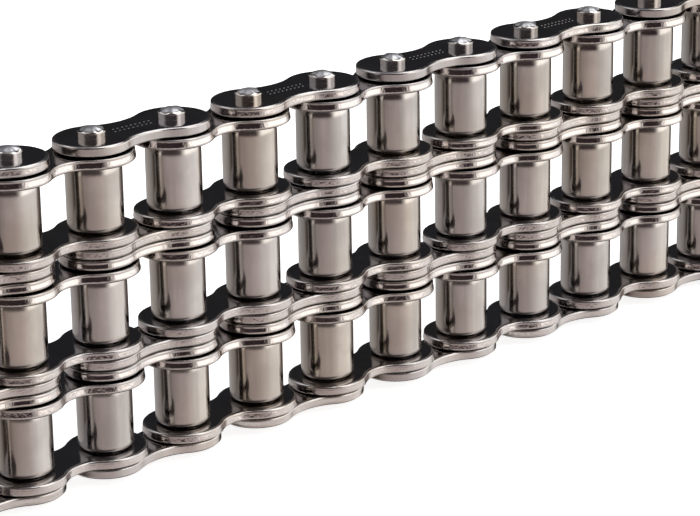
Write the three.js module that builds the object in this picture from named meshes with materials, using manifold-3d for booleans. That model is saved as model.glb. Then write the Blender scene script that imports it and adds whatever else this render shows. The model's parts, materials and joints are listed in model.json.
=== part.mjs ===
// A three-strand roller chain, twelve links long, straight, standing on its side with its pins upright.
// It ends in bare pins on the left (-X) and in open bushes on the right (+X), so lengths can be joined.
// Millimetres, +Z up. The origin is under the middle of the chain, on the plane of the lower pin ends.
import * as THREE from "three";
import { mergeVertices } from "three/addons/utils/BufferGeometryUtils.js";
import Module from "manifold-3d";

const wasm = await Module();
wasm.setup();

// Chain
const PITCH = 38.1; // from pin to pin
const STRANDS = 3;
const STRAND_PITCH = 45.44; // from strand to strand
const LINK_PAIRS = 6; // each one pin link and one roller link

// Link plates, each a waisted figure of eight
const PLATE_T = 4.45;
const PIN_PLATE_R = 15.3; // rounded end of an outer or middle plate
const PIN_PLATE_WAIST = 10.2; // half its height midway between the pins
const ROLLER_PLATE_R = 16.6;
const ROLLER_PLATE_WAIST = 9.6;
const END_STEPS = [2, 3, 3, 2]; // straight sides of a rounded end: waist, widest point, tip and back
const WAIST_STEPS = 3; // and of one side of the waist

// Round parts
const ROUND_STEPS = 16;
const PIN_R = 5.555;
const PIN_CHAMFER = 0.6;
const PIN_OUT_TOP = 4.0; // how far the pins stand out of the top outer plate
const PIN_OUT_BOTTOM = 3.0;
const BUSH_BORE_R = 5.78; // over the corners; its flats clear the pin by 0.1
const BUSH_R = 7.9;
const ROLLER_BORE_R = 8.2;
const ROLLER_R = 11.115;
const ROLLER_STEPS = 16;

// Along the pins
const INNER_WIDTH = 27.2; // between the two plates of a roller link
const ROLLER_L = 26.9;
const LINK_DROP = 0.17; // the roller links rest on the plates beneath them, all but 0.05
const ROLLER_LIFT = 0.05; // of a roller above the lower plate of its link

// Finishes: polished plates, satin rollers
const PIN_LINK_STEEL = { color: 0x8f8a86, roughness: 0.25, metalness: 1 };
const ROLLER_PLATE_STEEL = { color: 0x9a9590, roughness: 0.25, metalness: 1 };
const ROLLER_STEEL = { color: 0xa9a29d, roughness: 0.3, metalness: 1 };

// Levels along Z
const halfGap = STRAND_PITCH / 2 - PLATE_T; // from a strand's centre to the pin link's plates on each side
const firstStrand = PIN_OUT_BOTTOM + PLATE_T + halfGap; // centre of the lowest strand
const lastStrand = firstStrand + (STRANDS - 1) * STRAND_PITCH;
const pinLength = lastStrand + halfGap + PLATE_T + PIN_OUT_TOP;

// Columns along X: column 0 is the bare pin, column 2 * LINK_PAIRS the open bush
const span = 2 * LINK_PAIRS * PITCH;
const firstColumn = (PIN_PLATE_R - span - ROLLER_PLATE_R) / 2; // puts the origin under the middle
const columnX = (column) => firstColumn + column * PITCH;
const strandZ = (strand) => lastStrand - (strand - 1) * STRAND_PITCH; // strand 1 is the top one

// A closed three.js geometry as a manifold-3d solid.
function solid(geometry) {
  const bare = geometry.clone();
  bare.deleteAttribute("normal");
  bare.deleteAttribute("uv");
  const merged = mergeVertices(bare, 1e-4);
  const mesh = new wasm.Mesh({
    numProp: 3,
    vertProperties: merged.attributes.position.array,
    triVerts: new Uint32Array(merged.index.array),
  });
  return new wasm.Manifold(mesh);
}

// A manifold-3d solid as a flat-shaded three.js geometry.
function geometryOf(manifold) {
  const mesh = manifold.getMesh();
  const points = new Float32Array(mesh.numVert * 3);
  for (let i = 0; i < mesh.numVert; i++) {
    points.set(mesh.vertProperties.subarray(i * mesh.numProp, i * mesh.numProp + 3), i * 3);
  }
  const indexed = new THREE.BufferGeometry();
  indexed.setAttribute("position", new THREE.BufferAttribute(points, 3));
  indexed.setIndex(new THREE.BufferAttribute(mesh.triVerts, 1));
  const geometry = indexed.toNonIndexed();
  geometry.computeVertexNormals();
  return geometry;
}

// Outline of a link plate: round ends about x = 0 and x = PITCH, joined by two hollow arcs that meet them
// tangentially.
function plateShape(endR, waist) {
  const half = PITCH / 2;
  const waistR = (waist * waist + half * half - endR * endR) / (2 * (endR - waist));
  const waistY = waist + waistR;
  const meet = Math.atan2(waistY, half); // direction from an end's centre to where the arcs meet
  const points = [];
  const arc = (x, y, r, from, to, steps) => {
    for (let i = 0; i < steps; i++) {
      const a = from + ((to - from) * i) / steps;
      points.push(new THREE.Vector2(x + r * Math.cos(a), y + r * Math.sin(a)));
    }
  };
  const end = (x, turn) => {
    const stops = [meet, Math.PI / 2, Math.PI, 1.5 * Math.PI, 2 * Math.PI - meet].map((a) => a + turn);
    END_STEPS.forEach((steps, i) => arc(x, 0, endR, stops[i], stops[i + 1], steps));
  };
  end(0, 0);
  arc(half, -waistY, waistR, Math.PI - meet, meet, WAIST_STEPS);
  end(PITCH, Math.PI);
  arc(half, waistY, waistR, -meet, meet - Math.PI, WAIST_STEPS);
  return new THREE.Shape(points);
}

// A link plate, or two lying on each other as one, with its lower face at z.
function plate(endR, waist, z, thickness) {
  const geometry = new THREE.ExtrudeGeometry(plateShape(endR, waist), {
    depth: thickness,
    bevelEnabled: false,
    steps: 1,
  });
  return solid(geometry.translate(0, 0, z));
}

// A solid of revolution about the upright line at x, from [radius, z] pairs that run upwards.
function turned(profile, x, steps) {
  const points = profile.map(([r, z]) => new THREE.Vector2(r, z));
  const geometry = new THREE.LatheGeometry(points, steps);
  return solid(geometry.rotateX(Math.PI / 2).translate(x, 0, 0));
}

// A plain upright cylinder.
function rod(r, z0, z1, x, steps) {
  const profile = [
    [0, z0],
    [r, z0],
    [r, z1],
    [0, z1],
  ];
  return turned(profile, x, steps);
}

// Two pins riveted into a top and a bottom outer plate, with a pair of middle plates between strands.
function pinLink() {
  const pinProfile = [
    [0, 0],
    [PIN_R - PIN_CHAMFER, 0],
    [PIN_R, PIN_CHAMFER],
    [PIN_R, pinLength - PIN_CHAMFER],
    [PIN_R - PIN_CHAMFER, pinLength],
    [0, pinLength],
  ];
  const pins = [0, PITCH].map((x) => turned(pinProfile, x, ROUND_STEPS));
  const plates = [
    plate(PIN_PLATE_R, PIN_PLATE_WAIST, PIN_OUT_BOTTOM, PLATE_T),
    plate(PIN_PLATE_R, PIN_PLATE_WAIST, pinLength - PIN_OUT_TOP - PLATE_T, PLATE_T),
  ];
  for (let strand = 1; strand < STRANDS; strand++) {
    const between = strandZ(strand) - STRAND_PITCH / 2;
    plates.push(plate(PIN_PLATE_R, PIN_PLATE_WAIST, between - PLATE_T, 2 * PLATE_T));
  }
  return [...pins, ...plates].reduce((all, piece) => all.add(piece));
}

// One strand of a roller link, about its own mid-plane: two plates pressed onto two hollow bushes.
function rollerLinkFrame() {
  const inside = INNER_WIDTH / 2;
  const outside = inside + PLATE_T;
  const plates = [
    plate(ROLLER_PLATE_R, ROLLER_PLATE_WAIST, inside, PLATE_T),
    plate(ROLLER_PLATE_R, ROLLER_PLATE_WAIST, -outside, PLATE_T),
  ];
  const bushes = [0, PITCH].map((x) => rod(BUSH_R, -outside, outside, x, ROUND_STEPS));
  const bores = [0, PITCH].map((x) => rod(BUSH_BORE_R, -outside - 1, outside + 1, x, ROUND_STEPS));
  const whole = [...plates, ...bushes].reduce((all, piece) => all.add(piece));
  return bores.reduce((left, bore) => left.subtract(bore), whole);
}

// A loose roller, about its own middle.
function roller() {
  const half = ROLLER_L / 2;
  const body = rod(ROLLER_R, -half, half, 0, ROLLER_STEPS);
  return body.subtract(rod(ROLLER_BORE_R, -half - 1, half + 1, 0, ROLLER_STEPS));
}

const pinLinkGeometry = geometryOf(pinLink());
const frameGeometry = geometryOf(rollerLinkFrame());
const rollerGeometry = geometryOf(roller());

const group = new THREE.Group();

function addNode(name, geometry, x, z, finish) {
  const mesh = new THREE.Mesh(geometry, new THREE.MeshStandardMaterial(finish));
  mesh.name = name;
  mesh.position.set(x, 0, z);
  group.add(mesh);
}

const twoDigits = (n) => String(n).padStart(2, "0");
const rollerZ = -LINK_DROP - (INNER_WIDTH - ROLLER_L) / 2 + ROLLER_LIFT; // from the strand's centre

for (let link = 1; link <= LINK_PAIRS; link++) {
  const pinColumn = 2 * (link - 1);
  addNode(`pin_link_${link}`, pinLinkGeometry, columnX(pinColumn), 0, PIN_LINK_STEEL);
  for (let strand = 1; strand <= STRANDS; strand++) {
    const z = strandZ(strand);
    const frame = `roller_link_frame_${link}_strand_${strand}`;
    addNode(frame, frameGeometry, columnX(pinColumn + 1), z - LINK_DROP, ROLLER_PLATE_STEEL);
    for (const column of [pinColumn + 1, pinColumn + 2]) {
      const name = `roller_${twoDigits(column)}_strand_${strand}`;
      addNode(name, rollerGeometry, columnX(column), z + rollerZ, ROLLER_STEEL);
    }
  }
}

export default group;
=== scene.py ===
"""The look of the roller chain: every pin, plate, bush and roller as its own rounded steel piece.

Each piece is built about its own centre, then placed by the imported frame's joints and boxes. Metres, +Z up.
"""

import json
import math

import bmesh
import bpy
from mathutils import Matrix, Vector

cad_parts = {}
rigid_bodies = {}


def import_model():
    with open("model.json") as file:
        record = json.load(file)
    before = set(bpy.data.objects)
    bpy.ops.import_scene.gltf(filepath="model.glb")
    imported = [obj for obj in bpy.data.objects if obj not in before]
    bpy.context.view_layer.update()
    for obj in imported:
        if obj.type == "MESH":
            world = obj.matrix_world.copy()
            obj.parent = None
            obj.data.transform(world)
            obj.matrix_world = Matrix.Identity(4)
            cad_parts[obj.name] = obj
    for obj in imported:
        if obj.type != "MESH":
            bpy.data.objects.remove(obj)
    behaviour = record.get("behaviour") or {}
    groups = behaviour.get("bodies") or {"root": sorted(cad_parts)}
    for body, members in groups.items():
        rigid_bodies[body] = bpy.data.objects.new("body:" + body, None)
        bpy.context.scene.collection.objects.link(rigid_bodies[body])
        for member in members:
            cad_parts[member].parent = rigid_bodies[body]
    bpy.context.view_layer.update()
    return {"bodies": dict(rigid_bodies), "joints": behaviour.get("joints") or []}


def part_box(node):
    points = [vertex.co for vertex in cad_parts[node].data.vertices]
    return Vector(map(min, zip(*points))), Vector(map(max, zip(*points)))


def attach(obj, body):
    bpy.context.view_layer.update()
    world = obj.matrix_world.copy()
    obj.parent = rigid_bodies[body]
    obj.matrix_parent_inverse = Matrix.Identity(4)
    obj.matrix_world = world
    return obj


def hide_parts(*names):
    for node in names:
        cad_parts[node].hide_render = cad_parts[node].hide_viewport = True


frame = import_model()

MM = 0.001

# Link plates, as in the CAD: round ends joined by hollow arcs
PLATE_T = 4.45 * MM
SLOT = 0.24 * MM  # gap drawn between plates that lie on each other, half of it on each face
PIN_PLATE_R = 15.3 * MM
PIN_PLATE_WAIST = 10.2 * MM
ROLLER_PLATE_R = 16.6 * MM
ROLLER_PLATE_WAIST = 9.6 * MM
EDGE_IN = 1.4 * MM  # the tumbled edge is rounded this far in
EDGE_DOWN = 0.75 * MM  # and this far down
EDGE_STEPS = 5
SHEAR_BAND = (  # share of the edge's step, height in mm from the plate's middle, and zone, from the top down
    (1.0, 0.60, 0.5),
    (0.93, 0.48, 1.0),
    (0.5, -0.2, 1.0),
    (0.07, -0.88, 1.0),
    (0.0, -1.0, 0.5),
)
OUTER_STEP = (0.0, 0.14 * MM)  # how far the edge's upper half lies behind the lower, on even and odd links
MIDDLE_STEP = {1: 0.13 * MM, -1: 0.28 * MM}  # the same, on the upper and the lower plate of a pair
ROLLER_PLATE_EDGE = (  # that step and the crispness: two kinds of lower plate, then two kinds of upper plate
    (0.12 * MM, 1.0),
    (0.2 * MM, 1.0),
    (0.3 * MM, 0.4),
    (0.38 * MM, 0.5),
)
QUARTER_STEPS = 13  # sides of a quarter of a round end
WAIST_STEPS = 16
HOLE_STEPS = 48
HOLE_CLEARANCE = 0.01 * MM
SUPPORT = 0.18 * MM  # a narrow flat ring beside each rounding keeps the flat face's shading flat

# Round parts
PIN_R = 5.555 * MM
PIN_OUT_TOP = 4.0 * MM
PIN_OUT_BOTTOM = 3.0 * MM
PIN_DOME = 0.85 * MM  # height of the peened end over its rim
PIN_DOME_RINGS = (0.0, 0.3, 0.55, 0.75, 0.9)  # of the dome's radius
PIN_RIM_R = 1.0 * MM
PIN_RIM_STEPS = 4
PEEN_IN = 0.5 * MM  # how far the hammering drives the rim in, at most
PEEN_DOWN = 0.7 * MM  # and down
BUSH_BORE_R = 5.68 * MM
BUSH_R = 7.9 * MM
BUSH_EDGE_R = 0.3 * MM
ROLLER_BORE_R = 8.2 * MM
ROLLER_BORE_EDGE_R = 0.5 * MM
ROLLER_R = 11.115 * MM
ROLLER_CLEAR = 0.4 * MM  # its lower end stays this much higher over the plate than in the CAD
ROLLER_EDGE_R = (1.6 * MM, 1.1 * MM)  # rounding of its lower and its upper rim
ROLLER_CROWN = 0.36 * MM  # the upper end of a roller is drawn in by this much
ROLLER_CROWN_L = 3.8 * MM  # over this length
ROLLER_CROWN_RINGS = (0.08, 0.2, 0.35, 0.5, 0.7, 1.0)  # of that length
ROLLER_DULL_SHADE_BAND = 2.0 * MM  # rougher band beside each rim of a roller, whose darker colour is painted shade from the plates over and under it
ROUND_STEPS = 72
OUTER_ROUND_STEPS = 5
BORE_ROUND_STEPS = 3
ON_AXIS = 1e-9  # radii under this are a single point
BORE_CHAMFER = 0.06 * MM
GOLDEN = 2.39996  # radians; turns each copy of a round piece to another angle, so that no two look alike

# Punched dots on the outer plates
DOTS = 9
DOT_R = 0.7 * MM
DOT_DEPTH = 0.22 * MM
DOT_GAP = 2.1 * MM  # along each of the two rows
DOT_ROWS = 3.0 * MM  # between the two rows, whose dots are staggered
DOT_STEPS = 12
DOT_RINGS = (  # radius, depth and wear of the rings round a dot's deepest point
    (DOT_R + SUPPORT / 2, 0.0, 0.0),
    (DOT_R, 0.0, 0.3),
    (0.6 * DOT_R, 0.7 * DOT_DEPTH, 0.3),
)


# ---------------------------------------------------------------- places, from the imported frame

joints = {joint["name"]: Vector(joint["pos_m"]) for joint in frame["joints"]}
bodies = frame["bodies"]
LINK_PAIRS = sum(name.startswith("pin_link") for name in bodies)
COLUMNS = 2 * LINK_PAIRS
STRANDS = len([name for name in bodies if name.startswith("roller_01_strand")])

column_x = {k: joints[f"spin_{k:02d}_strand_1"].x for k in range(1, COLUMNS + 1)}
PITCH = (column_x[COLUMNS] - column_x[1]) / (COLUMNS - 1)
column_x[0] = column_x[1] - PITCH
strand_z = {s: joints[f"spin_01_strand_{s}"].z for s in range(1, STRANDS + 1)}
STRAND_PITCH = strand_z[1] - strand_z[2]
pin_low, pin_high = (corner.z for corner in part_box("pin_link_1"))


# ---------------------------------------------------------------- camera, light and floor

CAMERA_FROM = 1.99 * MM  # its place is measured from this high over the foot of the first roller of strand 1
CAMERA_AWAY = Vector((-14.4519, -22.2884, 8.9708))  # in chain pitches
CAMERA_YAW = math.radians(40.151)  # from +Y towards +X
CAMERA_DOWN = math.radians(19.205)
CAMERA_ROLL = math.radians(-0.9124)
CAMERA_LENS = 144.85  # mm
CAMERA_SENSOR = 36  # mm across


def camera():
    """The main view: from the front left, a little above the chain, through a long lens."""
    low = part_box("roller_01_strand_1")[0].z + CAMERA_FROM
    place = Vector((column_x[1], 0, low)) + CAMERA_AWAY * PITCH
    yaw, down, roll = CAMERA_YAW, CAMERA_DOWN, CAMERA_ROLL
    look = Vector((math.sin(yaw) * math.cos(down), math.cos(yaw) * math.cos(down), -math.sin(down)))
    level = Vector((math.cos(yaw), -math.sin(yaw), 0))
    above = level.cross(look)
    right = level * math.cos(roll) + above * math.sin(roll)
    up = above * math.cos(roll) - level * math.sin(roll)
    data = bpy.data.cameras.new("camera")
    data.lens = CAMERA_LENS
    data.sensor_width = CAMERA_SENSOR
    data.clip_start = 0.05
    data.clip_end = 50
    made = bpy.data.objects.new("camera", data)
    bpy.context.scene.collection.objects.link(made)
    turn = Matrix((right, up, -look)).transposed().to_4x4()
    made.matrix_world = Matrix.Translation(place) @ turn
    bpy.context.scene.camera = made


class Nodes:
    """A node tree with short calls for adding nodes and links."""

    def __init__(self, owner):
        owner.use_nodes = True
        self.tree = owner.node_tree
        self.tree.nodes.clear()

    def add(self, kind, inputs=None, **settings):
        node = self.tree.nodes.new("ShaderNode" + kind)
        for name, value in settings.items():
            setattr(node, name, value)
        for key, value in (inputs or {}).items():
            self.put(node, key, value)
        return node

    def put(self, node, key, value):
        if isinstance(value, bpy.types.NodeSocket):
            self.tree.links.new(value, node.inputs[key])
        else:
            node.inputs[key].default_value = value

    def math(self, operation, a, b=0.0):
        return self.add("Math", {0: a, 1: b}, operation=operation).outputs[0]

    def ramp(self, factor, stops):
        """A colour ramp, straight between its stops, which are (position, colour) in rising order."""
        node = self.add("ValToRGB", {0: factor})
        ramp = node.color_ramp
        ramp.interpolation = "LINEAR"
        while len(ramp.elements) < len(stops):
            ramp.elements.new(0.5)
        for element, stop in zip(ramp.elements, stops):
            element.position = stop[0]
        for element, stop in zip(ramp.elements, stops):
            element.color = (*stop[1], 1)
        return node.outputs[0]

    def mix(self, factor, a, b, blend="MIX"):
        """Colour a where factor is 0 and b where it is 1."""
        node = self.add("Mix", data_type="RGBA", blend_type=blend)
        for index, value in ((0, factor), (6, a), (7, b)):
            if isinstance(value, tuple):
                value = (*value, 1)
            self.put(node, index, value)
        return node.outputs[2]

    def span(self, value, low, high, to_low=0.0, to_high=1.0, kind="SMOOTHSTEP"):
        """The value's place between low and high, as a number from to_low to to_high."""
        node = self.add("MapRange", {0: value, 1: low, 2: high, 3: to_low, 4: to_high})
        node.interpolation_type = kind
        return node.outputs[0]

    def noise(self, place, scale, detail, rough=0.5):
        inputs = {"Vector": place, "Scale": scale, "Detail": detail, "Roughness": rough}
        return self.add("TexNoise", inputs).outputs[0]

    def drawn_out(self, place, share):
        """The place with its Z scaled by share, so that noise in it is drawn out along Z."""
        return self.add("Mapping", {"Vector": place, "Scale": (1, 1, share)}).outputs[0]


# Colour of the studio around the chain at each bearing, in degrees from the main camera's bearing towards
# its right. BELOW lies well under the horizon, where upright faces mirror it, LEVEL at the horizon, and ABOVE
# over it, where leaning faces and roundings mirror it.
BELOW = [
    (-180, (0.035, 0.035, 0.035)),
    (-172, (0.05, 0.05, 0.05)),
    (-156, (0.58, 0.56, 0.55)),
    (-128, (0.53, 0.51, 0.50)),
    (-114, (0.51, 0.48, 0.47)),
    (-96, (0.38, 0.35, 0.33)),
    (-88, (0.17, 0.145, 0.13)),
    (-80, (0.055, 0.04, 0.03)),
    (-62, (0.04, 0.028, 0.022)),
    (-54, (0.22, 0.18, 0.155)),
    (-35, (0.49, 0.42, 0.40)),
    (-10, (0.60, 0.51, 0.49)),
    (21, (0.72, 0.63, 0.605)),
    (42, (0.90, 0.825, 0.79)),
    (60, (1.09, 1.04, 0.99)),
    (86, (1.26, 1.22, 1.17)),
    (116, (1.32, 1.30, 1.26)),
    (134, (0.95, 0.93, 0.90)),
    (142, (0.20, 0.18, 0.16)),
    (148, (0.05, 0.045, 0.04)),
    (180, (0.035, 0.035, 0.035)),
]
LEVEL = [
    (-180, (0.02, 0.02, 0.022)),
    (-140, (0.02, 0.02, 0.022)),
    (-128, (0.26, 0.25, 0.24)),
    (-80, (0.26, 0.23, 0.21)),
    (-66, (0.06, 0.045, 0.04)),
    (31, (0.04, 0.028, 0.033)),
    (42, (0.75, 0.70, 0.65)),
    (54, (2.3, 2.23, 2.10)),
    (124, (2.3, 2.3, 2.25)),
    (138, (0.02, 0.02, 0.022)),
    (180, (0.02, 0.02, 0.022)),
]
ABOVE = [
    (-180, (0.025, 0.025, 0.028)),
    (-140, (0.025, 0.025, 0.028)),
    (-124, (0.60, 0.585, 0.60)),
    (-68, (0.60, 0.585, 0.60)),
    (-46, (0.09, 0.08, 0.085)),
    (42, (0.07, 0.06, 0.065)),
    (56, (2.0, 1.94, 1.84)),
    (74, (2.2, 2.15, 2.08)),
    (86, (1.15, 1.13, 1.10)),
    (124, (1.15, 1.13, 1.10)),
    (138, (0.025, 0.025, 0.028)),
    (180, (0.025, 0.025, 0.028)),
]
OVERHEAD = (2.4, 2.4, 2.4)  # the lamp over the chain
OVERHEAD_DIM = (0.30, 0.30, 0.31)  # its middle, which the tops mirror in the main view
BRIGHT_FLOOR = (1.0, 0.96, 0.91)  # mirrored by faces that lean down
UNDER = (0.04, 0.035, 0.03)  # straight down
BACKDROP = 1.05  # brightness of the white that the camera sees

# Where one part of the studio fades into the next, in height: the sine of the angle over the horizon
UNDER_TO_FLOOR = (-0.76, -0.64)
FLOOR_TO_BELOW = (-0.54, -0.44)
BELOW_TO_LEVEL = (-0.20, -0.08)
LEVEL_TO_ABOVE = (0.08, 0.24)
SIDES_TO_LAMP = (0.78, 0.90)
LAMP_BACK = 0.25  # the lamp reaches lower behind the chain, by this share of how far back it is
LAMP_LEFT = 0.15  # its dim middle lies this far to the left
LAMP_DIM_TO_BRIGHT = (0.17, 0.42)  # to the left and right of that middle


def studio():
    """A light tent as the world: three rings of sides, a lamp overhead, a bright floor, dark straight down.

    The steel mirrors it and the floor is lit by it. The camera itself sees plain white.
    """
    world = bpy.data.worlds.new("studio")
    bpy.context.scene.world = world
    n = Nodes(world)
    way = n.add("TexCoord").outputs["Generated"]

    def along(x, y):
        """How much of the direction runs along (x, y)."""
        return n.add("VectorMath", {0: way, 1: (x, y, 0)}, operation="DOT_PRODUCT").outputs["Value"]

    right = along(math.cos(CAMERA_YAW), -math.sin(CAMERA_YAW))
    toward = along(-math.sin(CAMERA_YAW), -math.cos(CAMERA_YAW))
    height = n.add("SeparateXYZ", {0: way}).outputs[2]
    bearing = n.math("ARCTAN2", right, toward)
    share = n.span(bearing, -math.pi, math.pi, kind="LINEAR")
    below, level, above = (n.ramp(share, [((degrees + 180) / 360, colour) for degrees, colour in stops])
                           for stops in (BELOW, LEVEL, ABOVE))
    below = n.mix(n.span(height, *FLOOR_TO_BELOW), BRIGHT_FLOOR, below)
    below = n.mix(n.span(height, *UNDER_TO_FLOOR), UNDER, below)
    above = n.mix(n.span(height, *LEVEL_TO_ABOVE), level, above)
    sides = n.mix(n.span(height, *BELOW_TO_LEVEL), below, above)
    behind = n.math("MULTIPLY", toward, -LAMP_BACK)
    top = n.span(n.math("ADD", height, behind), *SIDES_TO_LAMP)
    aside = n.math("ABSOLUTE", n.math("ADD", right, LAMP_LEFT))
    lamp = n.mix(n.span(aside, *LAMP_DIM_TO_BRIGHT), OVERHEAD_DIM, OVERHEAD)
    tent = n.add("Background", {"Color": n.mix(top, sides, lamp), "Strength": 1.0})
    plain = n.add("Background", {"Color": (1, 1, 1, 1), "Strength": BACKDROP})
    path = n.add("LightPath").outputs["Is Camera Ray"]
    both = n.add("MixShader", {0: path, 1: tent.outputs[0], 2: plain.outputs[0]})
    n.add("OutputWorld", {"Surface": both.outputs[0]})


FLOOR_HALF = 6.0
FLOOR_GAP = 0.02 * MM  # under the pins, so that their ends and the floor don't lie in one plane


def floor():
    """A plain white floor. It stays out of the steel's reflections, which show the studio alone."""
    mesh = bpy.data.meshes.new("floor")
    corners = [(x * FLOOR_HALF, y * FLOOR_HALF, 0) for x, y in ((-1, -1), (1, -1), (1, 1), (-1, 1))]
    mesh.from_pydata(corners, [], [(0, 1, 2, 3)])
    made = bpy.data.objects.new("floor", mesh)
    bpy.context.scene.collection.objects.link(made)
    made.location.z = -FLOOR_GAP
    made.visible_glossy = False
    material = bpy.data.materials.new("floor_white")
    n = Nodes(material)
    shader = n.add("BsdfPrincipled", {"Base Color": (0.9, 0.9, 0.9, 1), "Roughness": 1.0})
    shader.inputs["Specular IOR Level"].default_value = 0
    shader.inputs["Emission Color"].default_value = (1, 1, 1, 1)
    shader.inputs["Emission Strength"].default_value = 0.8
    n.add("OutputMaterial", {"Surface": shader.outputs[0]})
    mesh.materials.append(material)


camera()
studio()
floor()
bpy.context.scene.view_settings.view_transform = "Standard"


# ---------------------------------------------------------------- materials

# Temper colours that drift along the chain
WARM = (1.0, 0.945, 0.89)
COOL = (0.985, 0.975, 1.0)
STREAK = (0.16, 0.13, 0.115)  # the darkest marks along Z

# Scales of the steel's patterns, larger is finer
CAST_SCALE = 16
PATCH_SCALE = 55
BAND_SCALE = 150  # of the broad marks along Z
SMEAR_SCALE = 160
COMB_SCALE = 800
WORN = 1.18  # brightness of worn edges over the bright colour


def steel(name, dull, bright, rough, grain, bump, streaks=None, zone=None, comb=None):
    """Polished steel: soft patches of two colours, uneven polish, fine grain, brighter where wear is 1.

    rough is the least and the most roughness, grain the scale of the fine grain and bump its height in mm.
    streaks are marks along Z: their scale, how far they are drawn out, and how strong the fine and the
    broad ones are. zone is the roughness and colour where a mesh's zone is 1, and comb the height in mm of
    the torn marks there.
    """
    material = bpy.data.materials.new(name)
    n = Nodes(material)
    place = n.add("TexCoord").outputs["Object"]
    in_zone = n.add("Attribute", attribute_name="zone").outputs["Fac"]
    tone = n.mix(n.span(n.noise(place, PATCH_SCALE, 3), 0.36, 0.66), dull, bright)
    cast = n.mix(n.span(n.noise(place, CAST_SCALE, 1), 0.38, 0.62), WARM, COOL)
    tone = n.mix(1.0, tone, cast, "MULTIPLY")
    smear = n.noise(place, SMEAR_SCALE, 4, 0.6)
    polish = n.span(smear, 0.3, 0.72, *rough)
    relief = n.noise(place, grain, 3, 0.6)
    if streaks:
        scale, drawn, fine, broad = streaks
        band = n.noise(n.drawn_out(place, 0.06), BAND_SCALE, 2)
        tone = n.mix(n.span(band, 0.38, 0.68, 0, broad), tone, tuple(0.8 * part for part in dull))
        lines = n.noise(n.drawn_out(place, drawn), scale, 4, 0.65)
        tone = n.mix(n.span(lines, 0.35, 0.75, 0, fine), tone, STREAK)
        relief = n.math("ADD", n.math("MULTIPLY", lines, 3.0), relief)
    if comb:
        teeth = n.span(n.noise(n.drawn_out(place, 0.6), COMB_SCALE, 2), 0.3, 0.7)
        torn = n.math("MULTIPLY", n.math("MULTIPLY", teeth, in_zone), comb / bump)
        relief = n.math("ADD", torn, relief)
    wear = n.add("Attribute", attribute_name="wear").outputs["Fac"]
    worn = n.math("MULTIPLY", wear, n.span(smear, 0.35, 0.6))
    tone = n.mix(worn, tone, tuple(WORN * part for part in bright))
    if zone:
        polish = n.add("Mix", {0: in_zone, 2: polish, 3: zone[0]}).outputs[0]
        tone = n.mix(in_zone, tone, zone[1])
    shader = n.add("BsdfPrincipled", {"Base Color": tone, "Metallic": 1.0, "Roughness": polish})
    lift = n.add("Bump", {"Height": relief, "Strength": 1.0, "Distance": bump * MM})
    n.put(shader, "Normal", lift.outputs[0])
    n.add("OutputMaterial", {"Surface": shader.outputs[0]})
    return material


FACE = steel("plate_face_steel", (0.44, 0.43, 0.43), (0.52, 0.51, 0.51),
             rough=(0.08, 0.17), grain=900, bump=0.004)
EDGE = steel("plate_edge_steel", (0.42, 0.40, 0.39), (0.52, 0.50, 0.49),
             rough=(0.16, 0.28), grain=1400, bump=0.01,
             streaks=(420, 0.25, 0.10, 0.0), zone=(0.10, (0.50, 0.46, 0.45)), comb=0.035)
PIN = steel("pin_steel", (0.46, 0.43, 0.41), (0.60, 0.575, 0.55),
            rough=(0.10, 0.2), grain=700, bump=0.02, zone=(0.40, (0.66, 0.66, 0.69)))
# The roller's zone colour, darker than its own tone, is painted shade beside each rim, where the plates over
# and under it would shade it; the zone's higher roughness is a duller finish there.
ROLLER = steel("roller_steel_turned", (0.45, 0.43, 0.41), (0.53, 0.51, 0.49),
               rough=(0.10, 0.17), grain=800, bump=0.006,
               streaks=(260, 0.12, 0.12, 0.55), zone=(0.28, (0.46, 0.43, 0.41)))
BUSH = steel("bush_steel", (0.36, 0.345, 0.33), (0.48, 0.46, 0.445),
             rough=(0.2, 0.34), grain=700, bump=0.01)


# ---------------------------------------------------------------- meshes, each about its own centre

def mesh_from(name, vertices, faces, material, wear, zone):
    """A closed mesh with outward faces and smooth shading, with wear and zone for each vertex."""
    mesh = bpy.data.meshes.new(name)
    mesh.from_pydata(vertices, [], faces)
    mesh.materials.append(material)
    for attribute, values in (("wear", wear), ("zone", zone)):
        mesh.attributes.new(attribute, "FLOAT", "POINT").data.foreach_set("value", values)
    b = bmesh.new()
    b.from_mesh(mesh)
    bmesh.ops.recalc_face_normals(b, faces=b.faces)
    b.to_mesh(mesh)
    b.free()
    mesh.shade_smooth()
    return mesh


def rounding(r, z, depth, radius, steps, zone=0.0, inward=False):
    """[radius, z, wear, zone] points of a quarter round from the end face at z down the side.

    r is the side's radius, depth points from the end face into the piece (+1 or -1 along Z), and
    inward says that the side is a bore.
    """
    side = -1 if inward else 1
    points = []
    for i in range(steps + 1):
        a = math.pi / 2 * i / steps
        at_r = r - side * radius * (1 - math.sin(a))
        at_z = z + depth * radius * (1 - math.cos(a))
        points.append((at_r, at_z, math.sin(2 * a), zone))
    return points


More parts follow.
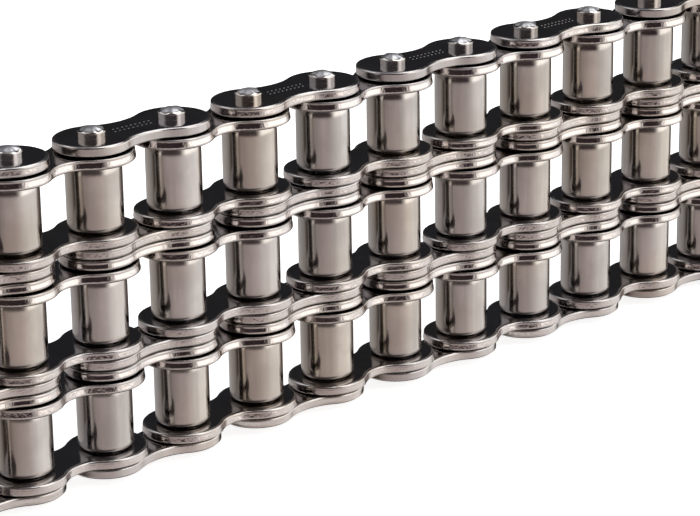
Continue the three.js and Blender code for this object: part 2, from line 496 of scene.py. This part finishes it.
def lathe(name, profile, material, closed=True, shape=None):
    """A ring turned about Z from [radius, z, wear, zone] points. Not closed, it ends in a point at each end.

    shape, if given, turns (radius, z, angle) into the (radius, z) that is built there.
    """
    vertices, wear, zones, rows = [], [], [], []
    for r, z, worn, zone in profile:
        if r < ON_AXIS:
            rows.append([len(vertices)] * ROUND_STEPS)
            vertices.append((0, 0, z))
            wear.append(worn)
            zones.append(zone)
            continue
        rows.append(list(range(len(vertices), len(vertices) + ROUND_STEPS)))
        for k in range(ROUND_STEPS):
            a = 2 * math.pi * k / ROUND_STEPS
            at_r, at_z = shape(r, z, a) if shape else (r, z)
            vertices.append((at_r * math.cos(a), at_r * math.sin(a), at_z))
            wear.append(worn)
            zones.append(zone)
    faces = []
    for low, high in zip(rows, rows[1:] + rows[:1] if closed else rows[1:]):
        for k in range(ROUND_STEPS):
            j = (k + 1) % ROUND_STEPS
            corners = [low[k], low[j], high[j], high[k]]
            corners = [c for i, c in enumerate(corners) if c != corners[i - 1]]
            if len(corners) > 2:
                faces.append(corners)
    return mesh_from(name, vertices, faces, material, wear, zones)


def outline(end_r, waist):
    """The plate's outline as (point, outward normal), in the plane, about the middle of the plate."""
    half = PITCH / 2
    waist_r = (waist * waist + half * half - end_r * end_r) / (2 * (end_r - waist))
    waist_y = waist + waist_r
    meet = math.atan2(waist_y, half)
    points = []

    def arc(x, y, r, start, stop, steps, hollow):
        for i in range(steps):
            a = start + (stop - start) * i / steps
            way = Vector((math.cos(a), math.sin(a)))
            points.append((Vector((x, y)) + r * way, -way if hollow else way))

    def end(x, turn):
        stops = [a + turn for a in (meet, math.pi / 2, math.pi, 1.5 * math.pi, 2 * math.pi - meet)]
        for start, stop in zip(stops, stops[1:]):
            steps = max(2, round(QUARTER_STEPS * (stop - start) / (math.pi / 2)))
            arc(x, 0, end_r, start, stop, steps, False)

    end(-half, 0)
    arc(0, -waist_y, waist_r, math.pi - meet, meet, WAIST_STEPS, True)
    end(half, math.pi)
    arc(0, waist_y, waist_r, -meet, meet - math.pi, WAIST_STEPS, True)
    return points


def plate(name, end_r, waist, hole_r, dots=0, step=0.0, crisp=1.0):
    """A link plate with rounded edges and two holes.

    It may have two rows of punched dots in its upper face, and a step: how far the upper half of its edge
    lies behind the lower half. The sheared band between the halves slopes. The rounding of the upper edge
    is crisp times as large as that of the lower one, and the sheared band reaches up to it.
    """
    shape = outline(end_r, waist)
    top = PLATE_T / 2 - SLOT / 2
    b = bmesh.new()
    worn = b.verts.layers.float.new("wear")
    zoned = b.verts.layers.float.new("zone")

    def ring(points, z, wear, zone=0.0):
        row = []
        for p in points:
            vertex = b.verts.new((p.x, p.y, z))
            vertex[worn] = wear
            vertex[zoned] = zone
            row.append(vertex)
        return row

    def sides(row):
        """The pairs of neighbours round a closed row."""
        return list(zip(row, row[1:] + row[:1]))

    def join(rows):
        faces = []
        for low, high in zip(rows, rows[1:]):
            for below, above in zip(sides(low), sides(high)):
                faces.append(b.faces.new((*below, *reversed(above))))
        return faces

    def skin(inset, z, wear, zone=0.0):
        return ring([p - way * inset for p, way in shape], z, wear, zone)

    def circle(x, y, r, steps):
        turns = [2 * math.pi * k / steps for k in range(steps)]
        return [Vector((x + r * math.cos(a), y + r * math.sin(a))) for a in turns]

    def half_edge(step, size):
        """[inset, depth under the face, wear, zone] from the face round to the upright edge."""
        half = [(step + size * EDGE_IN + SUPPORT, 0.0, 0.0, 0.0)]
        for i in range(EDGE_STEPS + 1):
            a = math.pi / 2 * i / EDGE_STEPS
            inset = step + size * EDGE_IN * (1 - math.sin(a))
            half.append((inset, size * EDGE_DOWN * (1 - math.cos(a)), math.sin(2 * a), 0.0))
        half.append((step, size * EDGE_DOWN + SUPPORT, 0.0, 0.2))
        return half

    rows = [skin(inset, top - depth, wear, zone) for inset, depth, wear, zone in half_edge(step, crisp)]
    if step:
        foot = SHEAR_BAND[-1][1] * MM
        head = SHEAR_BAND[0][1] * MM
        reach = (head + (1 - crisp) * EDGE_DOWN - foot) / (head - foot)
        for share, z, zone in SHEAR_BAND:
            rows.append(skin(step * share, foot + (z * MM - foot) * reach, 0.0, zone))
    for inset, depth, wear, zone in reversed(half_edge(0.0, 1.0)):
        rows.append(skin(inset, depth - top, wear, zone))
    join(rows[:2])
    edge_faces = join(rows[1:-1])
    join(rows[-2:])

    rims = {1: [rows[0]], -1: [rows[-1]]}
    upper = [(BORE_CHAMFER + SUPPORT / 2, top), (BORE_CHAMFER, top), (0.0, top - BORE_CHAMFER)]
    levels = upper + [(out, -z) for out, z in reversed(upper)]
    for x in (-PITCH / 2, PITCH / 2):
        bore = [ring(circle(x, 0.0, hole_r + out, HOLE_STEPS), z, 0.0) for out, z in levels]
        join(bore)
        rims[1].append(bore[0])
        rims[-1].append(bore[-1])
    for d in range(2 * dots):
        x = (d - dots + 0.5) * DOT_GAP / 2
        y = DOT_ROWS / 2 if d % 2 else -DOT_ROWS / 2
        dent = [ring(circle(x, y, r, DOT_STEPS), top - depth, wear) for r, depth, wear in DOT_RINGS]
        join(dent)
        pit = b.verts.new((x, y, top - DOT_DEPTH))
        pit[worn] = 0.0
        for pair in sides(dent[-1]):
            b.faces.new((*pair, pit))
        rims[1].append(dent[0])
    for side, loops in rims.items():  # the flat faces, between the outline and the holes and dots
        edges = [b.edges.get(pair) for loop in loops for pair in sides(loop)]
        bmesh.ops.triangle_fill(b, use_beauty=True, use_dissolve=False, edges=edges, normal=(0, 0, side))
    for face in edge_faces:
        face.material_index = 1
    for face in b.faces:
        face.smooth = True
    bmesh.ops.recalc_face_normals(b, faces=b.faces)
    mesh = bpy.data.meshes.new(name)
    b.to_mesh(mesh)
    b.free()
    mesh.materials.append(FACE)
    mesh.materials.append(EDGE)
    return mesh


def pin_mesh():
    """A riveted pin: a straight shank with a rounded rim and a low dome at each end."""
    half = (pin_high - pin_low) / 2
    rim = half - PIN_DOME
    shank = rim - PIN_RIM_R
    profile = []
    for side in (-1, 1):
        end = [(r * (PIN_R - PIN_RIM_R), side * (half - PIN_DOME * r * r), 0.2, 1.0) for r in PIN_DOME_RINGS]
        first, *rest = rounding(PIN_R, side * rim, -side, PIN_RIM_R, PIN_RIM_STEPS)
        end += [(*first[:3], 0.8), *rest]
        end.append((PIN_R, side * (shank - SUPPORT), 0.0, 0.0))
        profile += end if side < 0 else reversed(end)

    def peened(r, z, a):
        """The rim is hammered over unevenly: higher and lower, further in and out."""
        reach = max(0.0, (abs(z) - shank) / (half - shank))
        share = min(1.0, reach * 1.6) * min(1.0, (r / PIN_R) ** 2 * 1.4)
        blow = 0.5 + 0.3 * math.sin(3 * a + 0.6) + 0.2 * math.sin(7 * a + 2.0)
        lump = 0.5 + 0.5 * math.sin(5 * a + 1.1)
        return (r - share * PEEN_IN * lump, z - math.copysign(share * PEEN_DOWN * blow, z))

    return lathe("pin", profile, PIN, closed=False, shape=peened)


def tube_mesh(name, outer, bore, ends, outer_rounds, bore_round, material, band=0.0, crown=0.0, crown_l=0.0):
    """A hollow cylinder with rounded rims and, if asked, a band of that height at each end that is rougher
    and darker, its darker colour being painted shade.

    ends and outer_rounds are the heights and the outer rims' radii of its lower and its upper end. With a
    crown it narrows by that much over the last crown_l of its upper end.
    """
    profile = []
    zone = 1.0 if band else 0.0
    for side, at, outer_round in zip((-1, 1), ends, outer_rounds):
        drawn_in = crown if side > 0 else 0.0
        rim = outer - drawn_in
        end = [(bore, at - side * (bore_round + SUPPORT), 0.0, zone)]
        end += reversed(rounding(bore, at, -side, bore_round, BORE_ROUND_STEPS, zone, inward=True))
        end.append((bore + bore_round + SUPPORT / 2, at, 0.0, zone))
        end.append((rim - outer_round - SUPPORT, at, 0.0, zone))
        end += rounding(rim, at, -side, outer_round, OUTER_ROUND_STEPS, zone)
        # The zone fades out from each rim over the band: rougher there, with painted shade in the darker zone
        # colour.
        if band:
            for share in ROLLER_CROWN_RINGS:
                r = outer - drawn_in * (1 - share) ** 2
                z = at - side * (outer_round + crown_l * share)
                end.append((r, z, 0.0, max(0.0, 1 - share * crown_l / band) ** 1.5))
        else:
            end.append((outer, at - side * (outer_round + SUPPORT), 0.0, zone))
        profile += end if side < 0 else reversed(end)
    return lathe(name, profile, material)


# ---------------------------------------------------------------- the pieces in their places

def put(name, mesh, x, z, body, nodes, turn=0.0, flip=False):
    """A copy of the mesh at (x, z), riding on its body, in place of the CAD nodes."""
    placed = mesh.copy()
    placed.name = name
    move = Matrix.Translation((x, 0, z)) @ Matrix.Rotation(turn, 4, "Z")
    if flip:
        move = move @ Matrix.Rotation(math.pi, 4, "X")
    placed.transform(move)
    piece = bpy.data.objects.new(name, placed)
    bpy.context.scene.collection.objects.link(piece)
    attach(piece, body)
    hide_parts(*nodes)


frame_low, frame_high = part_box("roller_link_frame_1_strand_1")
roller_low, roller_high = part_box("roller_01_strand_1")
frame_drop = strand_z[1] - (frame_low.z + frame_high.z) / 2
roller_drop = strand_z[1] - (roller_low.z + roller_high.z) / 2
frame_half = (frame_high.z - frame_low.z) / 2
roller_half = (roller_high.z - roller_low.z) / 2
pin_hole_r = PIN_R + HOLE_CLEARANCE
bush_hole_r = BUSH_R + HOLE_CLEARANCE

pin = pin_mesh()
outer_plates = [
    plate("outer_plate", PIN_PLATE_R, PIN_PLATE_WAIST, pin_hole_r, dots=DOTS, step=step)
    for step in OUTER_STEP
]
middle_plates = {
    side: plate("middle_plate", PIN_PLATE_R, PIN_PLATE_WAIST, pin_hole_r, step=step)
    for side, step in MIDDLE_STEP.items()
}
roller_plates = [
    plate("roller_plate", ROLLER_PLATE_R, ROLLER_PLATE_WAIST, bush_hole_r, step=step, crisp=crisp)
    for step, crisp in ROLLER_PLATE_EDGE
]
bush = tube_mesh("bush", BUSH_R, BUSH_BORE_R, (-frame_half, frame_half), (BUSH_EDGE_R, BUSH_EDGE_R),
                 BUSH_EDGE_R, BUSH)
roller = tube_mesh("roller", ROLLER_R, ROLLER_BORE_R, (ROLLER_CLEAR - roller_half, roller_half),
                   ROLLER_EDGE_R, ROLLER_BORE_EDGE_R, ROLLER, ROLLER_DULL_SHADE_BAND, ROLLER_CROWN, ROLLER_CROWN_L)

for link in range(1, LINK_PAIRS + 1):
    body = f"pin_link_{link}"
    nodes = [body]
    first = 2 * (link - 1)
    middle = (column_x[first] + column_x[first + 1]) / 2
    for column in (first, first + 1):
        put(f"pin_{column:02d}", pin, column_x[column], (pin_low + pin_high) / 2, body,
            nodes, turn=GOLDEN * column)
    top = pin_high - PIN_OUT_TOP - PLATE_T / 2
    bottom = pin_low + PIN_OUT_BOTTOM + PLATE_T / 2
    outer_plate = outer_plates[link % 2]
    put(f"outer_plate_{link}_top", outer_plate, middle, top, body, nodes)
    put(f"outer_plate_{link}_bottom", outer_plate, middle, bottom, body, nodes, flip=True)
    for strand in range(1, STRANDS):
        between = strand_z[strand] - STRAND_PITCH / 2
        for level, side in (("upper", 1), ("lower", -1)):
            put(f"middle_plate_{link}_{strand}{strand + 1}_{level}", middle_plates[side], middle,
                between + side * PLATE_T / 2, body, nodes)

for link in range(1, LINK_PAIRS + 1):
    body = f"roller_link_{link}"
    first = 2 * link - 1
    middle = (column_x[first] + column_x[first + 1]) / 2
    for strand in range(1, STRANDS + 1):
        nodes = [f"roller_link_frame_{link}_strand_{strand}"]
        centre = strand_z[strand] - frame_drop
        for level, side in (("upper", 1), ("lower", -1)):
            kind = roller_plates[(link + strand) % 2 + (2 if side > 0 else 0)]
            put(f"roller_plate_{link}_strand_{strand}_{level}", kind, middle,
                centre + side * (frame_half - PLATE_T / 2), body, nodes)
        for column in (first, first + 1):
            put(f"bush_{column:02d}_strand_{strand}", bush, column_x[column], centre, body,
                nodes, turn=GOLDEN * (column + 7 * strand))
            name = f"roller_{column:02d}_strand_{strand}"
            put(f"chain_{name}", roller, column_x[column], strand_z[strand] - roller_drop, name,
                [name], turn=GOLDEN * (column + 5 * strand))

for mesh in (pin, *outer_plates, *middle_plates.values(), *roller_plates, bush, roller):
    bpy.data.meshes.remove(mesh)
